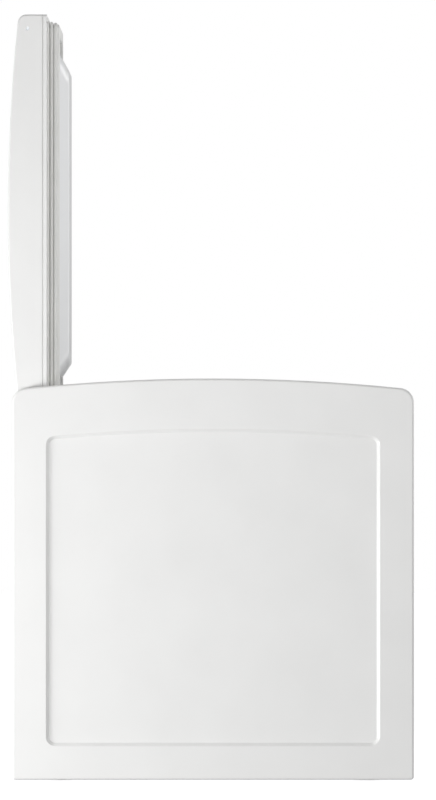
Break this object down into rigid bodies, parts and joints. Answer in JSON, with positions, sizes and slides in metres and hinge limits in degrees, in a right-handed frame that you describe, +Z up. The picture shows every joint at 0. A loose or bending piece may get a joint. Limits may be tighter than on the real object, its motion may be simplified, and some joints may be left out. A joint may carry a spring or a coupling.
{
  "type": "chest freezer",
  "caption": "Insulated top-opening chest with a crowned lid hinged between arched end panels, a hanging basket, a drain and a cooling unit in its base.",
  "frame": {"origin": "centre of the cabinet's footprint, on the floor", "axes": "+X to the front, +Z up, +Y to the right as seen from the front; at rest the lid stands open"},
  "size_m": [0.6063, 0.76, 1.1448],
  "materials": {
    "moulded_white": "satin",
    "painted_steel_white": "satin",
    "lid_liner_white": "satin",
    "liner_aluminium": "satin",
    "gasket_vinyl": "matte",
    "magnet_strip": "matte",
    "insulation_foam": "matte",
    "copper_pipe": "satin",
    "coil_pipe": "satin",
    "zinc_steel": "satin",
    "black_enamel": "satin",
    "black_rubber": "matte",
    "black_plastic": "matte",
    "grey_plastic": "satin",
    "rocker_amber": "satin",
    "lens": "polished",
    "drain_plastic": "satin",
    "coated_wire": "satin"
  },
  "bodies": {
    "cabinet": {"end_panel_left": "moulded_white", "end_panel_right": "moulded_white", "cheek_trim_left": "moulded_white", "cheek_trim_right": "moulded_white", "rim_frame": "moulded_white", "front_panel": "painted_steel_white", "back_panel": "painted_steel_white", "inner_liner": "liner_aluminium", "body_foam": "insulation_foam", "suction_tube": "copper_pipe", "discharge_tube": "copper_pipe", "filter_drier": "copper_pipe", "sensor_bulb": "copper_pipe", "evaporator_coil": "coil_pipe", "condenser_front": "coil_pipe", "condenser_back": "coil_pipe", "base_pan": "zinc_steel", "machine_bulkhead": "zinc_steel", "hinge_bracket_left": "zinc_steel", "hinge_bracket_right": "zinc_steel", "hinge_pin_left": "zinc_steel", "hinge_pin_right": "zinc_steel", "hinge_screws": "zinc_steel", "compressor_rail": "zinc_steel", "compressor_bolts": "zinc_steel", "rear_cover_screws": "zinc_steel", "compressor": "black_enamel", "feet": "black_rubber", "compressor_grommets": "black_rubber", "start_relay": "black_plastic", "power_inlet": "black_plastic", "switch_body": "black_plastic", "thermostat": "black_plastic", "control_panel": "grey_plastic", "rear_cover": "grey_plastic", "indicator_lenses": "lens", "drain_tube": "drain_plastic"},
    "lid": {"lid_skin": "painted_steel_white", "lid_cap_left": "moulded_white", "lid_cap_right": "moulded_white", "lid_cap_screws": "zinc_steel", "lid_frame": "moulded_white", "lid_foam": "insulation_foam", "lid_liner": "lid_liner_white", "gasket": "gasket_vinyl", "gasket_magnets": "magnet_strip", "lid_grip": "moulded_white", "hinge_bush_left": "drain_plastic", "hinge_bush_right": "drain_plastic", "lid_stop_pins": "zinc_steel"},
    "basket": {"wire_basket": "coated_wire"},
    "knob": {"thermostat_knob": "grey_plastic", "thermostat_spindle": "zinc_steel"},
    "rocker": {"fast_freeze_rocker": "rocker_amber"},
    "plug": {"drain_plug": "drain_plastic"},
    "cap": {"drain_cap": "drain_plastic"}
  },
  "joints": [
    {"name": "lid_hinge", "type": "hinge", "parent": "cabinet", "child": "lid", "pos_m": [-0.2769, 0, 0.5706], "axis": [0, 1, 0], "range_deg": [0, 90]},
    {"name": "basket_slide", "type": "slide", "parent": "cabinet", "child": "basket", "axis": [0, -1, 0], "range_m": [0, 0.35]},
    {"name": "thermostat_knob_turn", "type": "hinge", "parent": "cabinet", "child": "knob", "pos_m": [0.28, 0.243, 0.132], "axis": [1, 0, 0], "range_deg": [0, 270]},
    {"name": "fast_freeze_press", "type": "hinge", "parent": "cabinet", "child": "rocker", "pos_m": [0.2922, 0.31, 0.122], "axis": [0, 0, 1], "range_deg": [0, 12]},
    {"name": "drain_plug_lift", "type": "slide", "parent": "cabinet", "child": "plug", "axis": [0, 0, 1], "range_m": [0, 0.03]},
    {"name": "drain_cap_turn", "type": "hinge", "parent": "cabinet", "child": "cap", "pos_m": [0.295, -0.26, 0.033], "axis": [1, 0, 0], "range_deg": [0, 90]}
  ]
}
